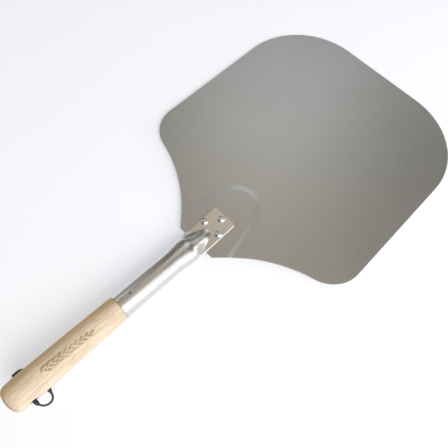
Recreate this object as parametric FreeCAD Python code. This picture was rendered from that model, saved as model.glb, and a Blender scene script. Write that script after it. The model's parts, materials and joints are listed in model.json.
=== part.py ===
"""Pizza peel: an embossed aluminium blade, a riveted tube socket and a wooden handle with a hanging strap.

Units are millimetres. The origin is the centre of the blade's flat underside.
+X runs along the blade towards its front edge, +Z is up and the peel is symmetric about Y = 0,
apart from the strap. Distances called "x" are measured forward from the blade's back edge, and
distances called "station" run back along the tilted axis of the handle from that same edge.
"""
import FreeCAD
import Part
import math
import os

Vector = FreeCAD.Vector
OUT = "parts"

# Blade
BLADE_LENGTH = 356.0
BLADE_WIDTH = 305.0
SHEET = 1.5
FRONT_CORNER_RADIUS = 95.0
SHOULDER_START = 103.0      # x where the straight sides begin
SHOULDER_RADIUS = 41.0
FLANK_RADIUS = 180.0        # hollow curve between the shoulder and the neck
FLANK_TURN = (42.9, 75.1)   # direction of the hollow curve at the neck and at the shoulder, degrees
NECK_CORNER_RADIUS = 3.0
EDGE_ROUND = 0.35

# Embossed platform under the socket: it stands proud, and leaves a recess beneath for the rivet tails
RISE = 1.2
BAND = 7.0                  # width of the sloping band
BEND_RADIUS = 12.0          # soft bends along both edges of the band
APEX_X = 67.0               # centre of the band's round front
APEX_RADIUS = 24.5
LEG_ANGLE = 14.0            # each leg opens by this much towards the back, degrees
EMBOSS_BACK = -60.0         # x where the tool shape closes, well behind the blade

# Socket: a tube whose front end is pressed flat into a tongue
TUBE_RADIUS = 13.8
WALL = 1.2
TUBE_END = 110.1            # station of the open end
TUBE_SPARE = 5.0            # extra length, cut off again at the open end
TILT = 5.0                  # the handle rises by this much, degrees
AXIS_BEND = 6.0             # the socket's middle line bends over this length, halved by x = 0
TONGUE_FRONT = 46.3
TONGUE_WIDTH = 32.5
TONGUE_CORNER = 3.0
FOLD_BULGE = 0.9            # rounding of the tongue's folded sides
SLIT = (3.0, 0.12)          # depth and height of the gap between the two walls at the tongue's front
FIN_START = (-16.0, 31.0)   # x and width where the tongue's folded sides grow out of the tube

# Dome: the part of the tube that sinks into the tongue. Heights are above and below the tongue's middle.
DOME_START = -48.0          # the first sections are still round
DOME_END = 24.0
DOME_STEPS = 18
DOME_TOP = (-16.0, 23.5)    # x range over which the top comes down
DOME_BOTTOM = (-38.0, 0.0)
DOME_SPREAD = 2.0           # the tube gets this much wider on each side as it is flattened
DOME_WIDEN = (-40.0, -14.0)
DOME_TAPER = 0.24           # then each side draws in by this much per millimetre
DOME_TAPER_SOFT = 6.0       # length over which that begins
DOME_PEAK = (-14.0, 20.0)   # x range over which the section turns from an ellipse to a bell
DOME_BELL = 1.8             # how far the bell's flanks hollow out; 0 leaves an ellipse
DOME_UPRIGHT = (-40.0, -8.0)  # x range over which the sections turn from square to the axis to upright
OUTER_LOW = (1.0, 0.9)      # what is left of the top and the bottom at the end, inside the tongue
INNER_LOW = (0.15, 0.15)
HOLLOW_END = 16.0           # x where the two walls meet
SECTION_POINTS = 24

# Rivets
RIVETS = {"rivet_front": (39.9, 0.0), "rivet_left": (24.3, 11.05), "rivet_right": (24.3, -11.05)}
HEAD_RADIUS = 4.5
HEAD_HEIGHT = 2.7
SHANK_RADIUS = 2.0
TAIL_RADIUS = 3.2
TAIL_HEIGHT = 0.9
TAIL_CHAMFER = 0.35
HOLE_CLEARANCE = 0.05

# Wooden handle, as radii at stations
SEAM_GAP = 0.3
TENON_START = 68.0
TENON_RADIUS = 12.5
TENON_CHAMFER = 1.0
FACE_CHAMFER = 0.4          # on the wood's face against the tube
FACE_PROUD = 0.05           # the wood is this much larger than the tube there
SWELL = ((140.0, 14.4), (180.0, 14.85), (205.0, 15.0), (222.0, 14.95))
BUTT_START = (232.0, 14.6)
BUTT = ((235.4, 13.9), (237.9, 12.2), (239.5, 9.6), (240.6, 5.8))
BUTT_END = 241.2
BUTT_FULLNESS = 10.0        # pull of the butt's curve along its end directions
STRAP_STATION = 221.7
STRAP_HOLE_RADIUS = 3.3
MOUTH_START = 14.2          # distance from the handle's axis at which the hole begins to flare
MOUTH_FLARE = 1.5           # length and widening of each flare

# Pin that holds the tenon in the tube
PIN_STATION = 94.0
PIN_RADIUS = 0.8
PIN_LENGTH = 11.0
PIN_HEAD_RADIUS = 1.4
PIN_HEAD_HEIGHT = 0.35
PIN_HOLE_SPARE = 0.5        # the hole is this much deeper than the pin

# Hanging strap: a flat lace in a closed loop. Its route lies in a plane through the cross hole.
STRAP_WIDTH = 5.4
STRAP_THICKNESS = 1.8
STRAP_LEAN = 58.0           # how far the loop's plane slopes down towards the blade, degrees
STRAP_ROUTE = (             # (sideways, away from the hole's axis), starting past the -Y mouth
    (-18.0, 0.1),
    (-22.3, 3.6),
    (-23.9, 10.4),
    (-22.4, 18.2),
    (-17.2, 24.0),
    (-7.5, 25.6),
    (3.5, 24.4),
    (12.8, 20.6),
    (17.9, 13.6),
    (18.9, 6.2),
    (17.0, -0.1),
)

STRAP_CORNER = 0.45         # share of the shorter run that each rounded corner takes up

NEAR = 0.01                 # distances under this count as none
BACK = -BLADE_LENGTH / 2
PLATFORM_TOP = SHEET + RISE
TONGUE_MIDDLE = PLATFORM_TOP + WALL
TONGUE_TOP = PLATFORM_TOP + 2 * WALL


def along(degrees):
    """Unit direction in the XY plane."""
    return Vector(math.cos(math.radians(degrees)), math.sin(math.radians(degrees)), 0)


def arc(centre, radius, start, end):
    """Arc in the XY plane from one direction to another, both in degrees."""
    middle = (start + end) / 2
    return Part.Arc(
        centre + along(start) * radius,
        centre + along(middle) * radius,
        centre + along(end) * radius,
    ).toShape()


def line(a, b):
    return Part.LineSegment(a, b).toShape()


def mirrored(edges):
    """The same edges on the other side of Y = 0, in the order that continues a closed outline."""
    return [e.mirror(Vector(0, 0, 0), Vector(0, 1, 0)) for e in reversed(edges)]


def smooth(x, start, end):
    """0 before start, 1 after end and a soft S between them."""
    t = min(1.0, max(0.0, (x - start) / (end - start)))
    return t * t * (3 - 2 * t)


def ramp(x, start, soft):
    """0 before start, then bending over the length soft into a line of slope 1."""
    t = max(0.0, x - start)
    return t * t / (2 * soft) if t < soft else t - soft / 2


def blade_outline():
    """Closed outline of the blade at Z = 0."""
    half = BLADE_WIDTH / 2
    neck_turn, shoulder_turn = FLANK_TURN
    corner = Vector(-BACK - FRONT_CORNER_RADIUS, half - FRONT_CORNER_RADIUS, 0)
    shoulder = Vector(BACK + SHOULDER_START, half - SHOULDER_RADIUS, 0)
    hollow = shoulder + along(shoulder_turn + 90) * (SHOULDER_RADIUS + FLANK_RADIUS)
    neck_end = hollow + along(neck_turn - 90) * FLANK_RADIUS
    # The straight flank runs from the hollow curve down to a small corner on the back edge.
    reach = (neck_end.x - BACK) / math.cos(math.radians(neck_turn))
    sharp = neck_end - along(neck_turn) * reach
    trim = NECK_CORNER_RADIUS * math.tan(math.radians((90 - neck_turn) / 2))
    neck_centre = sharp + Vector(NECK_CORNER_RADIUS, -trim, 0)
    front = Vector(-BACK, 0, 0)
    edges = [
        line(front, corner + Vector(FRONT_CORNER_RADIUS, 0, 0)),
        arc(corner, FRONT_CORNER_RADIUS, 0, 90),
        line(corner + Vector(0, FRONT_CORNER_RADIUS, 0), shoulder + Vector(0, SHOULDER_RADIUS, 0)),
        arc(shoulder, SHOULDER_RADIUS, 90, shoulder_turn + 90),
        arc(hollow, FLANK_RADIUS, shoulder_turn - 90, neck_turn - 90),
        line(neck_end, sharp + along(neck_turn) * trim),
        arc(neck_centre, NECK_CORNER_RADIUS, neck_turn + 90, 180),
        line(sharp - Vector(0, trim, 0), Vector(BACK, 0, 0)),
    ]
    return Part.Wire(Part.__sortEdges__(edges + mirrored(edges)))


def emboss_wire(offset, z):
    """Outline of the embossed platform, moved outwards by offset, at height z."""
    radius = APEX_RADIUS + offset
    centre = Vector(BACK + APEX_X, 0, z)
    touch = centre + along(90 - LEG_ANGLE) * radius
    reach = (touch.x - BACK - EMBOSS_BACK) / math.cos(math.radians(LEG_ANGLE))
    end = touch + along(180 - LEG_ANGLE) * reach
    flip = Vector(1, -1, 1)
    touch_right = Vector(touch.x * flip.x, touch.y * flip.y, z)
    end_right = Vector(end.x * flip.x, end.y * flip.y, z)
    round_front = Part.Arc(touch_right, centre + Vector(radius, 0, 0), touch).toShape()
    return Part.Wire([line(end_right, touch_right), round_front, line(touch, end), line(end, end_right)])


def emboss_body(z):
    """Platform with plain sloping sides that stands RISE above z."""
    return Part.makeLoft([emboss_wire(BAND / 2, z), emboss_wire(-BAND / 2, z + RISE)], True, True)


def upright(radius, x, y, bottom, top):
    """Vertical cylinder at a place measured from the back edge."""
    return Part.makeCylinder(radius, top - bottom, Vector(BACK + x, y, bottom))


def level_edges(solid, outline, on_rim):
    """Level edges of the sheet: those of its rim, or those of the embossed band."""
    chosen = []
    for edge in solid.Edges:
        middle = edge.valueAt((edge.FirstParameter + edge.LastParameter) / 2)
        spot = Part.Vertex(Vector(middle.x, middle.y, 0))
        inland = outline.distToShape(spot)[0]
        if edge.BoundBox.ZLength < NEAR and (inland < NEAR) == on_rim:
            chosen.append(edge)
    return chosen


def make_blade():
    """Sheet with the raised platform, its recess beneath, soft bends, a dulled rim and the rivet holes."""
    outline = blade_outline()
    face = Part.Face(outline)
    sheet = face.extrude(Vector(0, 0, SHEET))
    platform = emboss_body(SHEET).common(face.extrude(Vector(0, 0, 2 * PLATFORM_TOP)))
    blade = sheet.fuse(platform).cut(emboss_body(0.0)).removeSplitter().Solids[0]
    blade = blade.makeFillet(BEND_RADIUS, level_edges(blade, outline, False))
    blade = blade.makeFillet(EDGE_ROUND, level_edges(blade, outline, True))
    for x, y in RIVETS.values():
        blade = blade.cut(upright(SHANK_RADIUS + HOLE_CLEARANCE, x, y, -1, 2 * PLATFORM_TOP))
    return blade


def middle_height(x):
    """Height of the socket's middle line: level on the blade and rising along the handle's axis behind it."""
    return TONGUE_MIDDLE + math.tan(math.radians(TILT)) * ramp(-x, -AXIS_BEND / 2, AXIS_BEND)


def dome_section(x, inset):
    """Closed cross section of the dome at x, inset from the outer surface, as two edges."""
    top_low, bottom_low = INNER_LOW if inset else OUTER_LOW
    radius = TUBE_RADIUS - inset
    height = radius - (radius - top_low) * smooth(x, *DOME_TOP)
    depth = radius - (radius - bottom_low) * smooth(x, *DOME_BOTTOM)
    taper = DOME_TAPER * ramp(x, DOME_WIDEN[1], DOME_TAPER_SOFT)
    half = radius + DOME_SPREAD * smooth(x, *DOME_WIDEN) - taper
    power = 1 + DOME_BELL * smooth(x, *DOME_PEAK)
    tilt = math.radians(TILT) * (1 - smooth(x, *DOME_UPRIGHT))
    centre = Vector(BACK + x, 0, middle_height(x))
    up = Vector(math.sin(tilt), 0, math.cos(tilt))
    left = Vector(0, half, 0)
    upper = []
    lower = []
    for i in range(SECTION_POINTS + 1):
        turn = math.pi * i / SECTION_POINTS
        swing = left * math.cos(turn)
        share = max(0.0, math.sin(turn))
        upper.append(centre + swing + up * (height * share ** power))
        lower.append(centre - swing - up * (depth * share))
    upper[-1] = lower[0]
    lower[-1] = upper[0]
    return Part.Wire([spline(upper), spline(lower)])


def spline(points):
    """Smooth curve through points, with evenly spaced parameters so that all sections match."""
    curve = Part.BSplineCurve()
    curve.interpolate(Points=points, Parameters=[i / (len(points) - 1) for i in range(len(points))])
    return curve.toShape()


def plate_section(x, width):
    """Cross section of the flattened tube at x: two flat walls with rounded folds at the sides."""
    middle = middle_height(x)
    half = width / 2 - FOLD_BULGE

    def place(y, z):
        return Vector(BACK + x, y, middle + z)

    return Part.Wire([
        line(place(half, WALL), place(-half, WALL)),
        Part.Arc(place(-half, WALL), place(-width / 2, 0), place(-half, -WALL)).toShape(),
        line(place(-half, -WALL), place(half, -WALL)),
        Part.Arc(place(half, -WALL), place(width / 2, 0), place(half, WALL)).toShape(),
    ])


def axis_point(station):
    """Point on the handle's axis."""
    tilt = math.radians(TILT)
    foot = Vector(BACK, 0, TONGUE_MIDDLE)
    return foot + Vector(-math.cos(tilt), 0, math.sin(tilt)) * station


def handle_placement():
    """Places a shape made with its axis along local X, in stations, and its top along local Z."""
    tilt = math.radians(TILT)
    back = Vector(-math.cos(tilt), 0, math.sin(tilt))
    up = Vector(math.sin(tilt), 0, math.cos(tilt))
    rotation = FreeCAD.Rotation(back, up.cross(back), up, "XYZ")
    return FreeCAD.Placement(axis_point(0), rotation)


def placed(shape):
    """A shape of the handle, moved from its own frame to the peel's."""
    moved = shape.copy()
    moved.Placement = handle_placement().multiply(moved.Placement)
    return moved


def dome(inset, end):
    """The dome from its round start to end, and the straight tube behind it."""
    step = (DOME_END - DOME_START) / DOME_STEPS
    stations = [DOME_START + i * step for i in range(DOME_STEPS + 1)]
    front = Part.makeLoft([dome_section(x, inset) for x in stations if x <= end], True, False)
    section = Part.Face(dome_section(DOME_START, inset))
    start = -DOME_START / math.cos(math.radians(TILT))
    direction = axis_point(1) - axis_point(0)
    return front.fuse(section.extrude(direction * (TUBE_END + TUBE_SPARE - start)))


def folded_tongue():
    """Flat end with rounded front corners, and the folds that lead to it along both sides of the tube.

    The flat end starts where the middle line is level, so that all of it lies on the blade.
    """
    level = AXIS_BEND / 2
    plate = Part.Face(plate_section(level, TONGUE_WIDTH)).extrude(Vector(TONGUE_FRONT - level, 0, 0))
    outline = Part.makeBox(TONGUE_FRONT, TONGUE_WIDTH, 4 * WALL)
    outline.translate(Vector(BACK, -TONGUE_WIDTH / 2, TONGUE_MIDDLE - 2 * WALL))
    front = BACK + TONGUE_FRONT
    corners = [e for e in outline.Edges if e.BoundBox.XMin > front - NEAR and e.BoundBox.YLength < NEAR]
    plate = plate.common(outline.makeFillet(TONGUE_CORNER, corners))
    fins = Part.makeLoft([plate_section(*FIN_START), plate_section(level, TONGUE_WIDTH)], True, True)
    return plate.fuse(fins)


def front_slit():
    """Hairline gap at the tongue's front, where the two walls lie on each other."""
    deep, high = SLIT
    slit = Part.makeBox(2 * deep, TONGUE_WIDTH - 4 * FOLD_BULGE, high)
    corner = Vector(BACK + TONGUE_FRONT - deep, -TONGUE_WIDTH / 2 + 2 * FOLD_BULGE, TONGUE_MIDDLE - high / 2)
    slit.translate(corner)
    return slit


def make_socket():
    """Tube with its pressed end, hollow as far as the walls meet."""
    socket = dome(0, DOME_END).fuse(folded_tongue()).cut(dome(WALL, HOLLOW_END)).cut(front_slit())
    beyond = Part.makeCylinder(2 * TUBE_RADIUS, 2 * TUBE_SPARE, Vector(TUBE_END, 0, 0), Vector(1, 0, 0))
    socket = socket.cut(placed(beyond)).cut(pin_hole())
    for x, y in RIVETS.values():
        socket = socket.cut(upright(SHANK_RADIUS + HOLE_CLEARANCE, x, y, 0, 2 * TONGUE_TOP))
    return socket.removeSplitter()


def make_rivet(x, y):
    """Domed head on the tongue, a shank through both sheets and a flat tail in the recess."""
    rim = TONGUE_TOP
    dome_radius = (HEAD_RADIUS ** 2 + HEAD_HEIGHT ** 2) / (2 * HEAD_HEIGHT)
    ball = Part.makeSphere(dome_radius, Vector(0, 0, rim + HEAD_HEIGHT - dome_radius))
    head = ball.common(Part.makeCylinder(2 * HEAD_RADIUS, 2 * HEAD_HEIGHT, Vector(0, 0, rim)))
    shank = Part.makeCylinder(SHANK_RADIUS, rim - RISE, Vector(0, 0, RISE))
    tail = Part.makeCylinder(TAIL_RADIUS, TAIL_HEIGHT, Vector(0, 0, RISE - TAIL_HEIGHT))
    bottom = [e for e in tail.Edges if e.BoundBox.ZMax < RISE - TAIL_HEIGHT / 2]
    tail = tail.makeChamfer(TAIL_CHAMFER, bottom)
    rivet = head.fuse(shank).fuse(tail).removeSplitter()
    rivet.translate(Vector(BACK + x, y, 0))
    return rivet


def pin_hole():
    """Hole for the pin through the top of the tube and into the tenon."""
    radius = PIN_RADIUS + HOLE_CLEARANCE
    above = PIN_HEAD_RADIUS
    depth = above + PIN_LENGTH + PIN_HOLE_SPARE
    start = Vector(PIN_STATION, 0, TUBE_RADIUS + above)
    return placed(Part.makeCylinder(radius, depth, start, Vector(0, 0, -1)))


def make_pin():
    """Brad with a low domed head."""
    seat = TUBE_RADIUS
    head = Part.makeSphere(PIN_HEAD_RADIUS, Vector(0, 0, 0))
    head = head.common(Part.makeCylinder(2 * PIN_HEAD_RADIUS, 2 * PIN_HEAD_RADIUS))
    matrix = FreeCAD.Matrix()
    matrix.scale(1, 1, PIN_HEAD_HEIGHT / PIN_HEAD_RADIUS)
    head = head.transformGeometry(matrix)
    head.translate(Vector(PIN_STATION, 0, seat))
    shank = Part.makeCylinder(PIN_RADIUS, PIN_LENGTH, Vector(PIN_STATION, 0, seat), Vector(0, 0, -1))
    return placed(head.fuse(shank).removeSplitter())


def radial(station, radius):
    """Point of a turned profile, in the handle's own frame."""
    return Vector(station, 0, radius)


def make_handle():
    """Turned wood: a tenon for the tube, a gentle swell, a rounded butt and the cross hole."""
    seam = TUBE_END + SEAM_GAP
    face_edge = radial(seam + FACE_CHAMFER, TUBE_RADIUS + FACE_PROUD)
    swell = Part.BSplineCurve()
    swell.interpolate([face_edge] + [radial(*p) for p in SWELL] + [radial(*BUTT_START)])
    end_slope = swell.tangent(swell.LastParameter)[0]
    butt = Part.BSplineCurve()
    butt_points = [radial(*BUTT_START)] + [radial(*p) for p in BUTT] + [radial(BUTT_END, 0)]
    butt.interpolate(
        Points=butt_points,
        InitialTangent=end_slope * BUTT_FULLNESS,
        FinalTangent=Vector(0, 0, -BUTT_FULLNESS),
    )
    corners = [
        radial(BUTT_END, 0),
        radial(TENON_START, 0),
        radial(TENON_START, TENON_RADIUS - TENON_CHAMFER),
        radial(TENON_START + TENON_CHAMFER, TENON_RADIUS),
        radial(seam, TENON_RADIUS),
        radial(seam, TUBE_RADIUS + FACE_PROUD - FACE_CHAMFER),
        face_edge,
    ]
    edges = [line(a, b) for a, b in zip(corners, corners[1:])]
    profile = Part.Face(Part.Wire(edges + [swell.toShape(), butt.toShape()]))
    wood = profile.revolve(Vector(0, 0, 0), Vector(1, 0, 0), 360)
    wood = wood.cut(strap_hole())
    return placed(wood).cut(pin_hole())


def strap_hole():
    """Cross hole with eased mouths, in the handle's own frame."""
    reach = 2 * TUBE_RADIUS
    hole = Part.makeCylinder(STRAP_HOLE_RADIUS, 2 * reach, Vector(STRAP_STATION, -reach, 0), Vector(0, 1, 0))
    for side in (1, -1):
        mouth = Vector(STRAP_STATION, side * MOUTH_START, 0)
        wide = STRAP_HOLE_RADIUS + MOUTH_FLARE
        hole = hole.fuse(Part.makeCone(STRAP_HOLE_RADIUS, wide, MOUTH_FLARE, mouth, Vector(0, side, 0)))
    return hole


def strap_frame():
    """Centre of the cross hole, and the directions away from it in the loop's plane and across it."""
    lean = math.radians(STRAP_LEAN)
    away = Vector(math.cos(lean), 0, -math.sin(lean))
    across = Vector(math.sin(lean), 0, math.cos(lean))
    return axis_point(STRAP_STATION), away, across


def rounded_loop(points):
    """Closed wire of straight runs joined by tangent arcs, and the arcs' radii."""
    count = len(points)
    edges = []
    radii = []
    cuts = []
    for i, point in enumerate(points):
        back = points[i - 1] - point
        ahead = points[(i + 1) % count] - point
        half_turn = (math.pi - back.getAngle(ahead)) / 2
        trim = STRAP_CORNER * min(back.Length, ahead.Length)
        radius = trim / math.tan(half_turn)
        back.normalize()
        ahead.normalize()
        bisector = back + ahead
        bisector.normalize()
        bulge = radius / math.cos(half_turn) - radius
        radii.append(radius)
        cuts.append((point + back * trim, point + bisector * bulge, point + ahead * trim))
    for i, (start, middle, end) in enumerate(cuts):
        edges.append(Part.Arc(start, middle, end).toShape())
        edges.append(line(end, cuts[(i + 1) % count][0]))
    return Part.Wire(edges), radii


def make_strap():
    """Flat lace: its section, STRAP_THICKNESS in the loop's plane, drawn STRAP_WIDTH across it."""
    centre, away, across = strap_frame()
    points = [centre + Vector(0, 1, 0) * y + away * r for y, r in STRAP_ROUTE]
    wire, radii = rounded_loop(points)
    outer = wire.makeOffset2D(STRAP_THICKNESS / 2)
    inner = wire.makeOffset2D(-STRAP_THICKNESS / 2)
    if outer.Length < inner.Length:
        outer, inner = inner, outer
    band = Part.Face(outer).cut(Part.Face(inner))
    band.translate(across * (-STRAP_WIDTH / 2))
    strap = band.extrude(across * STRAP_WIDTH)
    print("strap length", round(wire.Length, 1), "radii", [round(r, 1) for r in radii])
    print("strap volume", round(strap.Volume), "of", round(wire.Length * STRAP_WIDTH * STRAP_THICKNESS))
    return strap


def build():
    """Every piece of the peel, by node name."""
    pieces = {"blade": make_blade(), "tube_socket": make_socket()}
    for name, (x, y) in RIVETS.items():
        pieces[name] = make_rivet(x, y)
    pieces["wood_handle"] = make_handle()
    pieces["handle_pin"] = make_pin()
    pieces["hanging_strap"] = make_strap()
    return pieces


os.makedirs(OUT, exist_ok=True)
for node, shape in build().items():
    print(node, shape.ShapeType, len(shape.Solids), "valid", shape.isValid(), round(shape.Volume))
    solid = shape.Solids[0] if len(shape.Solids) == 1 else shape
    solid.exportStep(os.path.join(OUT, node + ".step"))
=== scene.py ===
"""Pizza peel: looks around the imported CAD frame. Metres, row frame: +X along the blade, +Z up."""

import json
import math

import bpy
from mathutils import Matrix, Vector


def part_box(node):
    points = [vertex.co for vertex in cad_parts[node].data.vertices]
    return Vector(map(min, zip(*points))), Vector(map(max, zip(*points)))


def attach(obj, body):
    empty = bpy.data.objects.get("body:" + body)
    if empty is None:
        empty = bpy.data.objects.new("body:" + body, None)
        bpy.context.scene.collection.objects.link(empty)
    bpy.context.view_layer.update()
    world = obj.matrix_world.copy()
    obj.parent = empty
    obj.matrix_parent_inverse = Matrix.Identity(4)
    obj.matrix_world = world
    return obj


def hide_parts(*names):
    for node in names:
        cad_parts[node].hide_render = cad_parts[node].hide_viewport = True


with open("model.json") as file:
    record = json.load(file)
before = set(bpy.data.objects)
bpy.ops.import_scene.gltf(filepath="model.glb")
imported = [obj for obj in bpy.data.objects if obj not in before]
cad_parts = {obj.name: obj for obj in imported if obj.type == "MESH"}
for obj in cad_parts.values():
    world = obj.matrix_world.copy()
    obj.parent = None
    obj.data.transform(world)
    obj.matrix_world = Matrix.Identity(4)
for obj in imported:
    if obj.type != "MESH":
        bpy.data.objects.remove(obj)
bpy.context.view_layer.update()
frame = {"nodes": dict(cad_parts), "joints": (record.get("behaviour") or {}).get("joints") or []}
scene = bpy.context.scene

# ---------------------------------------------------------------------------------------------
# Driving values
# ---------------------------------------------------------------------------------------------
TILT = math.radians(5.0)            # the handle rises towards its butt
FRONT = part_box("blade")[1].x        # front edge of the blade
HINGE = Vector(frame["joints"][0]["pos_m"])
AXIS_BACK = Vector((-math.cos(TILT), 0, math.sin(TILT)))
AXIS_UP = Vector((math.sin(TILT), 0, math.cos(TILT)))
SIDE = Vector((0, 1, 0))
STRAP_STATION = 0.2217              # from the blade's back edge to the cross hole, along the handle
WOOD_RADIUS = 0.015                 # of the handle near the cross hole, to the nearest millimetre
BUTT_REACH = 0.0190                 # from the cross hole to where the butt's darkening is full
AXIS_FOOT = HINGE - AXIS_BACK * STRAP_STATION

# Camera, looking at a point near the blade's back edge
LENS = 38.9
CAMERA_TARGET = Vector((-0.138, -0.005, 0.0))
CAMERA_DISTANCE = 0.554
CAMERA_AZIMUTH = math.radians(215.5)    # from +X towards +Y
CAMERA_ELEVATION = math.radians(65.0)
CAMERA_ROLL = math.radians(9.6)


def axis_point(station):
    """Point on the handle's axis, station metres behind the blade's back edge."""
    return AXIS_FOOT + AXIS_BACK * station


# ---------------------------------------------------------------------------------------------
# Shader helpers
# ---------------------------------------------------------------------------------------------
class Graph:
    """A material's node tree, with short calls for the nodes that are used again and again."""

    def __init__(self, name):
        self.material = bpy.data.materials.new(name)
        self.material.use_nodes = True
        self.tree = self.material.node_tree
        self.tree.nodes.clear()
        self.output = self.tree.nodes.new("ShaderNodeOutputMaterial")
        self.shader = self.tree.nodes.new("ShaderNodeBsdfPrincipled")
        self.tree.links.new(self.shader.outputs[0], self.output.inputs[0])
        self.coords = self.tree.nodes.new("ShaderNodeTexCoord").outputs["Object"]

    def node(self, kind, inputs=None, **settings):
        made = self.tree.nodes.new(kind)
        for key, value in settings.items():
            setattr(made, key, value)
        for key, value in (inputs or {}).items():
            self.put(made.inputs[key], value)
        return made

    def put(self, socket, value):
        if isinstance(value, bpy.types.NodeSocket):
            self.tree.links.new(value, socket)
        else:
            socket.default_value = value

    def set(self, **values):
        for key, value in values.items():
            self.put(self.shader.inputs[key.replace("_", " ")], value)

    def mapped(self, scale=(1, 1, 1), rotation=(0, 0, 0), place=(0, 0, 0)):
        made = self.node("ShaderNodeMapping", {"Vector": self.coords})
        made.inputs["Scale"].default_value = scale
        made.inputs["Rotation"].default_value = rotation
        made.inputs["Location"].default_value = place
        return made.outputs[0]

    def noise(self, vector, scale, detail=3.0, roughness=0.5, distortion=0.0):
        inputs = {"Vector": vector, "Scale": scale, "Detail": detail, "Roughness": roughness}
        inputs["Distortion"] = distortion
        return self.node("ShaderNodeTexNoise", inputs).outputs["Fac"]

    def math(self, operation, a, b=0.0):
        return self.node("ShaderNodeMath", {0: a, 1: b}, operation=operation).outputs[0]

    def range(self, value, low, high, to_low=0.0, to_high=1.0, smooth=False):
        inputs = {"Value": value, 1: low, 2: high, 3: to_low, 4: to_high}
        made = self.node("ShaderNodeMapRange", inputs)
        made.interpolation_type = "SMOOTHSTEP" if smooth else "LINEAR"
        return made.outputs[0]

    def mix(self, share, a, b, blend="MIX"):
        made = self.node("ShaderNodeMix", data_type="RGBA", blend_type=blend)
        self.put(made.inputs[0], share)
        self.put(made.inputs[6], a)
        self.put(made.inputs[7], b)
        return made.outputs[2]

    def bump(self, height, strength, distance):
        inputs = {"Height": height, "Strength": strength, "Distance": distance}
        return self.node("ShaderNodeBump", inputs).outputs[0]

    def parts(self, vector):
        return self.node("ShaderNodeSeparateXYZ", {0: vector}).outputs


def rgb(red, green, blue):
    return (red, green, blue, 1.0)


def dress(piece, material):
    """Gives a piece one material, in its first slot."""
    piece.data.materials.clear()
    piece.data.materials.append(material)


def make_piece(name, vertices, faces, material):
    """New smooth mesh piece in the scene."""
    mesh = bpy.data.meshes.new(name)
    mesh.from_pydata(vertices, [], faces)
    mesh.validate()
    mesh.shade_smooth()
    piece = bpy.data.objects.new(name, mesh)
    scene.collection.objects.link(piece)
    dress(piece, material)
    return piece


# ---------------------------------------------------------------------------------------------
# Materials
# ---------------------------------------------------------------------------------------------
def brushed_sheet():
    """Satin aluminium: fine rolling lines along the blade, faint clouds, and a painted sheen that makes it
    lighter where it slopes.
    """
    g = Graph("blade_aluminium")
    fine = g.noise(g.mapped((14, 1100, 60)), 1.0, 2.0, 0.6)
    coarse = g.noise(g.mapped((4, 150, 20)), 1.0, 3.0, 0.6)
    cloud = g.noise(g.mapped((7, 7, 7)), 1.0, 3.0, 0.55)
    lines = g.math("ADD", g.math("MULTIPLY", fine, 0.7), g.math("MULTIPLY", coarse, 0.3))
    colour = g.mix(g.range(lines, 0.3, 0.7), rgb(0.560, 0.553, 0.523), rgb(0.605, 0.597, 0.570))
    colour = g.mix(g.range(cloud, 0.35, 0.7, 0.0, 0.3), colour, rgb(0.560, 0.556, 0.518))
    normal = g.tree.nodes.new("ShaderNodeTexCoord").outputs["Normal"]
    level = g.math("ABSOLUTE", g.parts(normal)["Z"])
    # Painted sheen: the sheet is coloured lighter where its surface slopes, such as the pressed bead, in
    # place of the reflection there
    painted_slope_sheen = g.range(level, 0.9885, 0.997, 1.0, 0.0, smooth=True)
    colour = g.mix(g.math("MULTIPLY", painted_slope_sheen, 0.6), colour, rgb(0.80, 0.79, 0.76))
    g.set(Base_Color=colour, Metallic=1.0)
    clouded = g.range(cloud, 0.3, 0.7, -0.01, 0.02)
    g.set(Roughness=g.math("ADD", g.range(lines, 0.3, 0.7, 0.36, 0.42), clouded))
    g.set(Normal=g.bump(lines, 0.06, 0.0001))
    return g.material


def polished_tube():
    """Drawn aluminium with faint draw lines along the tube and a few soft smudges."""
    g = Graph("socket_aluminium")
    lines = g.noise(g.mapped((12, 700, 700), (0, TILT, 0)), 1.0, 2.0, 0.6)
    cloud = g.noise(g.mapped((30, 30, 30)), 1.0, 3.0, 0.5)
    colour = g.mix(g.range(lines, 0.3, 0.7), rgb(0.71, 0.70, 0.68), rgb(0.76, 0.75, 0.732))
    g.set(Base_Color=colour, Metallic=1.0)
    smudged = g.range(cloud, 0.3, 0.7, 0.0, 0.05)
    g.set(Roughness=g.math("ADD", g.range(lines, 0.3, 0.7, 0.24, 0.26), smudged))
    g.set(Normal=g.bump(lines, 0.03, 0.0001))
    return g.material


def rivet_metal():
    """Tumbled rivet heads with a soft shine and tiny pits."""
    g = Graph("rivet_metal")
    cloud = g.noise(g.mapped((400, 400, 400)), 1.0, 3.0, 0.6)
    g.set(Base_Color=g.mix(cloud, rgb(0.74, 0.73, 0.72), rgb(0.86, 0.85, 0.84)), Metallic=1.0)
    g.set(Roughness=g.range(cloud, 0.3, 0.7, 0.28, 0.36))
    g.set(Normal=g.bump(cloud, 0.1, 0.0001))
    return g.material


def pin_steel():
    g = Graph("pin_steel")
    cloud = g.noise(g.mapped((600, 600, 600)), 1.0, 2.0, 0.6)
    g.set(Base_Color=g.mix(cloud, rgb(0.22, 0.21, 0.2), rgb(0.34, 0.33, 0.31)), Metallic=1.0)
    g.set(Roughness=g.range(cloud, 0.3, 0.7, 0.3, 0.45))
    return g.material


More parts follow.
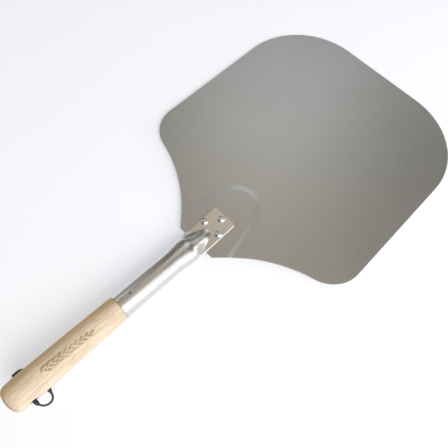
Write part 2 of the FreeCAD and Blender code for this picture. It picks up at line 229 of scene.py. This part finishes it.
def pale_wood():
    """Pale straight-grained hardwood: growth bands, fibres, pores, a darker ochre band along the +Y side and
    darker end grain.
    """
    g = Graph("handle_wood")
    turned = (0, TILT, 0)
    bands = g.node("ShaderNodeTexWave", {"Vector": g.mapped((0.6, 1, 1), turned, (0, 0.03, -0.05))})
    bands.wave_type = "RINGS"
    bands.rings_direction = "X"
    bands.inputs["Scale"].default_value = 75.0
    bands.inputs["Distortion"].default_value = 2.0
    bands.inputs["Detail"].default_value = 2.0
    bands.inputs["Detail Scale"].default_value = 1.2
    fibres = g.noise(g.mapped((16, 620, 620), turned), 1.0, 4.0, 0.6)
    pores = g.noise(g.mapped((55, 950, 950), turned), 1.0, 2.0, 0.5)
    patch = g.noise(g.mapped((10, 45, 45), turned), 1.0, 2.0, 0.5)
    base = g.mix(g.range(bands.outputs["Fac"], 0.2, 0.9), rgb(0.91, 0.75, 0.57), rgb(0.80, 0.62, 0.43))
    base = g.mix(g.range(fibres, 0.35, 0.7, 0.0, 0.6), base, rgb(0.91, 0.77, 0.60))
    base = g.mix(g.range(patch, 0.45, 0.75, 0.0, 0.35), base, rgb(0.78, 0.59, 0.38))
    base = g.mix(g.range(pores, 0.54, 0.68, 0.0, 0.55), base, rgb(0.53, 0.40, 0.26))
    place = g.parts(g.coords)
    # Darker ochre band along the top of the handle on its +Y side, broken up by noise
    plus_y_band = g.math("ADD", place["Y"], g.range(patch, 0.3, 0.7, -0.004, 0.004))
    inner = g.range(plus_y_band, -0.001, 0.007, 0.0, 0.8, smooth=True)
    outer = g.range(plus_y_band, 0.010, 0.014, 1.0, 0.25, smooth=True)
    base = g.mix(g.math("MULTIPLY", inner, outer), base, rgb(0.67, 0.46, 0.21))
    butt = g.math("ADD", place["X"], g.range(patch, 0.3, 0.7, -0.0015, 0.0015))
    butt_end = HINGE.x - BUTT_REACH
    darker = g.range(butt, butt_end, butt_end + 0.006, 0.8, 0.0, smooth=True)
    base = g.mix(darker, base, rgb(0.45, 0.28, 0.12))
    g.set(Base_Color=base, Roughness=g.range(fibres, 0.3, 0.7, 0.46, 0.58))
    height = g.math("SUBTRACT", g.math("MULTIPLY", fibres, 0.5), g.range(pores, 0.62, 0.72, 0.0, 0.8))
    g.set(Normal=g.bump(height, 0.2, 0.0003))
    g.shader.inputs["Specular IOR Level"].default_value = 0.3
    return g.material


def burnt_wood():
    """Scorched brown, blotchy and dull."""
    g = Graph("burnt_wood")
    speck = g.noise(g.mapped((700, 700, 700)), 1.0, 3.0, 0.6)
    colour = g.mix(g.range(speck, 0.3, 0.7), rgb(0.44, 0.28, 0.15), rgb(0.62, 0.44, 0.27))
    g.set(Base_Color=colour, Roughness=0.7)
    g.set(Normal=g.bump(speck, 0.3, 0.0002))
    return g.material


def dark_leather():
    """Dark brown lace: fine grain on the faces."""
    g = Graph("strap_leather")
    cells = g.node("ShaderNodeTexVoronoi", {"Vector": g.coords, "Scale": 1400.0})
    grain = g.noise(g.mapped((900, 900, 900)), 1.0, 4.0, 0.6)
    colour = g.mix(grain, rgb(0.030, 0.024, 0.021), rgb(0.075, 0.062, 0.054))
    g.set(Base_Color=colour, Roughness=g.range(grain, 0.3, 0.7, 0.45, 0.65))
    g.set(Normal=g.bump(g.math("ADD", cells.outputs["Distance"], grain), 0.4, 0.0002))
    return g.material


# ---------------------------------------------------------------------------------------------
# Hanging strap
# ---------------------------------------------------------------------------------------------
STRAP_WIDTH = 0.0054
STRAP_THICKNESS = 0.0018
STRAP_RISES = (0.0, 0.12)           # shares of the lace's length over which it twists upright
STRAP_FALLS = (0.41, 0.53)          # and lies flat again
STRAP_PINCH = 0.8                   # share of its width that the lace keeps inside the hole
STRAP_SPREAD = (0.0142, 0.0180)     # distances from the hole's middle over which it regains its width
STRAP_CORNER = 0.0005               # radius of the cut edges
STRAP_FLAT = Vector((1, 0, 0))      # direction of the lace's width where it lies flat
STRAP_UPRIGHT = Vector((0.14, -0.28, 0.95))     # and where it stands nearly upright
STRAP_LEAN = math.radians(58.0)     # how far the loop's plane slopes down towards the blade
STRAP_ROUTE = (                     # (sideways, away from the hole's axis), starting past the -Y mouth
    (-0.0180, 0.0001),
    (-0.0223, 0.0036),
    (-0.0239, 0.0104),
    (-0.0224, 0.0182),
    (-0.0172, 0.0240),
    (-0.0075, 0.0256),
    (0.0035, 0.0244),
    (0.0128, 0.0206),
    (0.0179, 0.0136),
    (0.0189, 0.0062),
    (0.0170, -0.0001),
)


def strap_line():
    """Points down the middle of the lace, read from the smooth spline of its route."""
    away = Vector((math.cos(STRAP_LEAN), 0, -math.sin(STRAP_LEAN)))
    middle = (0.0, 0.0)
    route = [HINGE + SIDE * y + away * r for y, r in (middle, *STRAP_ROUTE, middle)]
    data = bpy.data.curves.new("strap_route", "CURVE")
    data.dimensions = "3D"
    data.resolution_u = 12
    path = data.splines.new("NURBS")
    path.points.add(len(route) - 1)
    for point, place in zip(path.points, route):
        point.co = (*place, 1.0)
    path.order_u = 3
    path.use_endpoint_u = True
    holder = bpy.data.objects.new("strap_route", data)
    mesh = bpy.data.meshes.new_from_object(holder)
    line = [v.co.copy() for v in mesh.vertices]
    bpy.data.meshes.remove(mesh)
    bpy.data.curves.remove(data)
    return line


def rounded_section(width, thickness, radius, steps=3):
    """Closed section of the lace: (across, through) pairs with rounded corners."""
    points = []
    for turn, (sx, sy) in enumerate(((1, 1), (-1, 1), (-1, -1), (1, -1))):
        cx = sx * (width / 2 - radius)
        cy = sy * (thickness / 2 - radius)
        for i in range(steps + 1):
            angle = math.radians(90 * turn + 90 * i / steps)
            points.append((cx + radius * math.cos(angle), cy + radius * math.sin(angle)))
    return points


def soft_step(value, start, end):
    """Rises smoothly from 0 at start to 1 at end."""
    t = min(1.0, max(0.0, (value - start) / (end - start)))
    return t * t * (3 - 2 * t)


def strap_across(share):
    """Direction of the lace's width: along the handle, but nearly upright round the open side of the loop."""
    weight = soft_step(share, *STRAP_RISES) * (1 - soft_step(share, *STRAP_FALLS))
    return STRAP_FLAT * (1 - weight) + STRAP_UPRIGHT * weight


def strap_spread(place):
    """Share of its full width that the lace has at a place."""
    free = soft_step((place - HINGE).length, *STRAP_SPREAD)
    return STRAP_PINCH + (1 - STRAP_PINCH) * free


def strap_vertices(line, section):
    """The lace's section at each point of its middle line, turned and pinched as it lies there."""
    vertices = []
    last = len(line) - 1
    for i, place in enumerate(line):
        ahead = (line[min(i + 1, last)] - line[max(i - 1, 0)]).normalized()
        across = strap_across(i / last)
        across = (across - ahead * across.dot(ahead)).normalized()
        through = ahead.cross(across)
        across *= strap_spread(place)
        vertices.extend(place + across * a + through * t for a, t in section)
    return vertices


def tube_faces(count, around, first=0):
    """Faces of a closed tube of count rings, with around vertices each, numbered from first."""
    faces = []
    for i in range(count - 1):
        for k in range(around):
            a = first + i * around + k
            b = first + i * around + (k + 1) % around
            faces.append((a, b, b + around, a + around))
    last = first + (count - 1) * around
    faces.append(tuple(first + k for k in range(around))[::-1])
    faces.append(tuple(last + k for k in range(around)))
    return faces


def make_strap():
    """The lace: one closed flat band from the middle of the hole, round the loop and back."""
    line = strap_line()
    section = rounded_section(STRAP_WIDTH, STRAP_THICKNESS, STRAP_CORNER)
    faces = tube_faces(len(line), len(section))
    lace = make_piece("hanging_lace", strap_vertices(line, section), faces, dark_leather())
    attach(lace, "strap")
    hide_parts("hanging_strap")


# ---------------------------------------------------------------------------------------------
# Burnt ornament on the handle: a sprig of narrow leaves, in stations along the handle's axis
# ---------------------------------------------------------------------------------------------
RAY_HEIGHT = 0.05               # height over the handle's axis from which its top is looked for
SPRIG_ROOT = 0.2030
SPRIG_LENGTH = 0.0600
SPRIG_TURN = (9.0, 19.0)        # degrees from the top towards -Y, at the root and at the tip
LEAF_PAIRS = 9
LEAF_LENGTH = (0.0088, 0.0062)  # at the root and at the tip
LEAF_SLENDER = 0.17             # half the leaf's width, as a share of its length
LEAF_ANGLE = 33.0
STEM_HALF = 0.00032
BURN_LIFT = 0.00004
BURN_DEPTH = 0.0003
# Round a stroke's section: side of its middle line, and lift off the wood
STROKE_SECTION = ((-1, -BURN_DEPTH), (-1, 0.0), (0, BURN_LIFT), (1, 0.0), (1, -BURN_DEPTH))
POINT_HALF = 0.00006            # half the width at a leaf's point
END_LEAF_HALF = 0.0011          # added to that for the last leaf, at its widest
PAIR_STAGGER = 0.0011           # one leaf of a pair sits this far ahead, the other this far behind
STEM_SHARE = 0.9                # share of the sprig's length that the stem takes up
PAIRS_FROM, PAIRS_OVER = 0.04, 0.80     # shares of its length: where the pairs start, and over how much


def wood_radius(station):
    """Radius of the handle at a station, read from its top."""
    start = axis_point(station) + AXIS_UP * RAY_HEIGHT
    hit, place, _, _ = frame["nodes"]["wood_handle"].ray_cast(start, -AXIS_UP)
    return (place - axis_point(station)).dot(AXIS_UP) if hit else WOOD_RADIUS


def sprig_place(along, aside, lift):
    """Point on the handle: along the sprig from its root, aside across it, lifted off the wood."""
    station = SPRIG_ROOT - along
    radius = wood_radius(station)
    low, high = SPRIG_TURN
    turn = math.radians(low + (high - low) * along / SPRIG_LENGTH) + aside / radius
    outward = AXIS_UP * math.cos(turn) - SIDE * math.sin(turn)
    return axis_point(station) + outward * (radius + lift)


def stroke(vertices, faces, middle, halves):
    """Adds a closed lens or band along the points of middle, with a half width at each."""
    first = len(vertices)
    for i, (along, aside) in enumerate(middle):
        before = middle[max(i - 1, 0)]
        after = middle[min(i + 1, len(middle) - 1)]
        run = Vector((after[0] - before[0], after[1] - before[1])).normalized()
        for side, lift in STROKE_SECTION:
            shift = side * halves[i]
            vertices.append(sprig_place(along - run.y * shift, aside + run.x * shift, lift))
    faces.extend(tube_faces(len(middle), len(STROKE_SECTION), first))


def leaf(vertices, faces, along, side, length):
    """One narrow leaf that leaves the stem at an angle and bends a little towards the tip."""
    steps = 10
    middle = []
    halves = []
    for i in range(steps + 1):
        share = i / steps
        angle = math.radians(LEAF_ANGLE * (1.25 - 0.6 * share))
        reach = length * share
        middle.append((along + reach * math.cos(angle), side * (STEM_HALF + reach * math.sin(angle))))
        halves.append(POINT_HALF + length * LEAF_SLENDER * math.sin(math.pi * share ** 0.85))
    stroke(vertices, faces, middle, halves)


def make_sprig():
    """Stem, pairs of leaves that get smaller towards the tip, and a last leaf."""
    vertices = []
    faces = []
    stem_steps = 24
    stem = [(SPRIG_LENGTH * STEM_SHARE * i / stem_steps, 0.0) for i in range(stem_steps + 1)]
    stroke(vertices, faces, stem, [STEM_HALF] * len(stem))
    long, short = LEAF_LENGTH
    for i in range(LEAF_PAIRS):
        share = i / (LEAF_PAIRS - 1)
        along = SPRIG_LENGTH * (PAIRS_FROM + PAIRS_OVER * share)
        for side in (-1, 1):
            leaf(vertices, faces, along + side * PAIR_STAGGER, side, long + (short - long) * share)
    tip_steps = 8
    shares = [i / tip_steps for i in range(tip_steps + 1)]
    tip = [(SPRIG_LENGTH * (STEM_SHARE + (1 - STEM_SHARE) * share), 0.0) for share in shares]
    stroke(vertices, faces, tip, [POINT_HALF + END_LEAF_HALF * math.sin(math.pi * share) for share in shares])
    sprig = make_piece("burnt_sprig", vertices, faces, burnt_wood())
    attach(sprig, "peel")


# ---------------------------------------------------------------------------------------------
# Camera, floor and light
# ---------------------------------------------------------------------------------------------
FLOOR_HALF = 12.0               # half the side of the square floor
FLOOR_GAP = 0.0003              # how far the floor lies below what rests on it


def direction(azimuth, elevation):
    """Unit vector towards an azimuth and an elevation, both in radians."""
    level = math.cos(elevation)
    return Vector((level * math.cos(azimuth), level * math.sin(azimuth), math.sin(elevation)))


def make_camera():
    data = bpy.data.cameras.new("camera")
    data.lens = LENS
    data.sensor_width = 36.0
    data.clip_start = 0.01
    data.clip_end = 20.0
    camera = bpy.data.objects.new("camera", data)
    back = direction(CAMERA_AZIMUTH, CAMERA_ELEVATION)
    turned = back.to_track_quat("Z", "Y").to_matrix().to_4x4() @ Matrix.Rotation(CAMERA_ROLL, 4, "Z")
    camera.matrix_world = Matrix.Translation(CAMERA_TARGET + back * CAMERA_DISTANCE) @ turned
    scene.collection.objects.link(camera)
    scene.camera = camera


def resting_slope():
    """Slope of the floor that touches the blade's front edge and the underside of the socket."""
    points = [v.co for v in frame["nodes"]["tube_socket"].data.vertices]
    return max(-p.z / (FRONT - p.x) for p in points)


def make_floor():
    """Plain pale floor that the peel rests on."""
    slope = resting_slope()
    corners = []
    for x in (-FLOOR_HALF, FLOOR_HALF):
        for y in (-FLOOR_HALF, FLOOR_HALF):
            corners.append((x, y, -(FRONT - x) * slope - FLOOR_GAP))
    mesh = bpy.data.meshes.new("floor")
    mesh.from_pydata(corners, [], [(0, 2, 3, 1)])
    floor = bpy.data.objects.new("floor", mesh)
    scene.collection.objects.link(floor)
    g = Graph("pale_floor")
    speck = g.noise(g.mapped((6, 6, 6)), 1.0, 2.0, 0.5)
    g.set(Base_Color=g.mix(speck, rgb(0.79, 0.79, 0.79), rgb(0.81, 0.81, 0.81)), Roughness=0.9)
    g.set(Emission_Color=rgb(0.85, 0.9, 1.0), Emission_Strength=0.4)
    g.shader.inputs["Specular IOR Level"].default_value = 0.1
    dress(floor, g.material)


# Soft panels round the peel: name, azimuth from +X towards +Y, elevation, size, power and colour
WHITE = (1.0, 1.0, 1.0)
COOL = (0.8, 0.9, 1.0)
WARM = (1.0, 0.8, 0.6)
PANELS = (
    ("side_low", -75, 15, 0.8, 4.0, COOL),
    ("side_middle", -75, 40, 1.1, 4.0, WHITE),
    ("side_high", -75, 68, 0.9, 1.5, WHITE),
    ("overhead", 30, 68, 0.9, 1.2, WARM),
    ("front", 30, 45, 0.9, 2.2, COOL),
    ("left", 100, 40, 1.1, 4.0, WHITE),
    ("nose_side", -30, 20, 0.8, 3.0, WHITE),
    ("nose_low", -55, 15, 0.8, 3.0, WHITE),
    ("nose_front", 5, 18, 0.8, 1.0, WHITE),
    ("behind", -115, 45, 1.2, 20.0, WHITE),
)
PANEL_DISTANCE = 1.9
PANEL_TARGET = Vector((-0.12, 0, 0))

# Sky: one grey near the horizon and one dim warm tone overhead
HORIZON = rgb(0.4, 0.4, 0.4)
CEILING = rgb(0.13, 0.12, 0.10)
HORIZON_FADE = (0.05, 0.25)     # height of the direction over which the horizon fades into the ceiling


def panel(name, azimuth, elevation, size, power, colour):
    """Square area light that looks at the peel from a direction in degrees."""
    data = bpy.data.lights.new(name, "AREA")
    data.energy = power
    data.color = colour
    data.size = size
    light = bpy.data.objects.new(name, data)
    away = direction(math.radians(azimuth), math.radians(elevation))
    light.location = PANEL_TARGET + away * PANEL_DISTANCE
    light.rotation_euler = away.to_track_quat("Z", "Y").to_euler()
    scene.collection.objects.link(light)


def make_light():
    world = bpy.data.worlds.new("studio")
    world.use_nodes = True
    tree = world.node_tree
    view = tree.nodes.new("ShaderNodeTexCoord").outputs["Generated"]
    parts = tree.nodes.new("ShaderNodeSeparateXYZ")
    tree.links.new(view, parts.inputs[0])
    sky = tree.nodes.new("ShaderNodeValToRGB")
    tree.links.new(parts.outputs["Z"], sky.inputs["Fac"])
    low, high = sky.color_ramp.elements
    low.position, high.position = HORIZON_FADE
    low.color = HORIZON
    high.color = CEILING
    tree.links.new(sky.outputs["Color"], tree.nodes["Background"].inputs["Color"])
    scene.world = world
    for settings in PANELS:
        panel(*settings)
    scene.view_settings.view_transform = "Standard"


def main():
    make_camera()
    make_floor()
    make_light()
    nodes = frame["nodes"]
    dress(nodes["blade"], brushed_sheet())
    dress(nodes["tube_socket"], polished_tube())
    rivet = rivet_metal()
    for name in ("rivet_front", "rivet_left", "rivet_right"):
        dress(nodes[name], rivet)
    dress(nodes["wood_handle"], pale_wood())
    dress(nodes["handle_pin"], pin_steel())
    make_strap()
    make_sprig()


main()
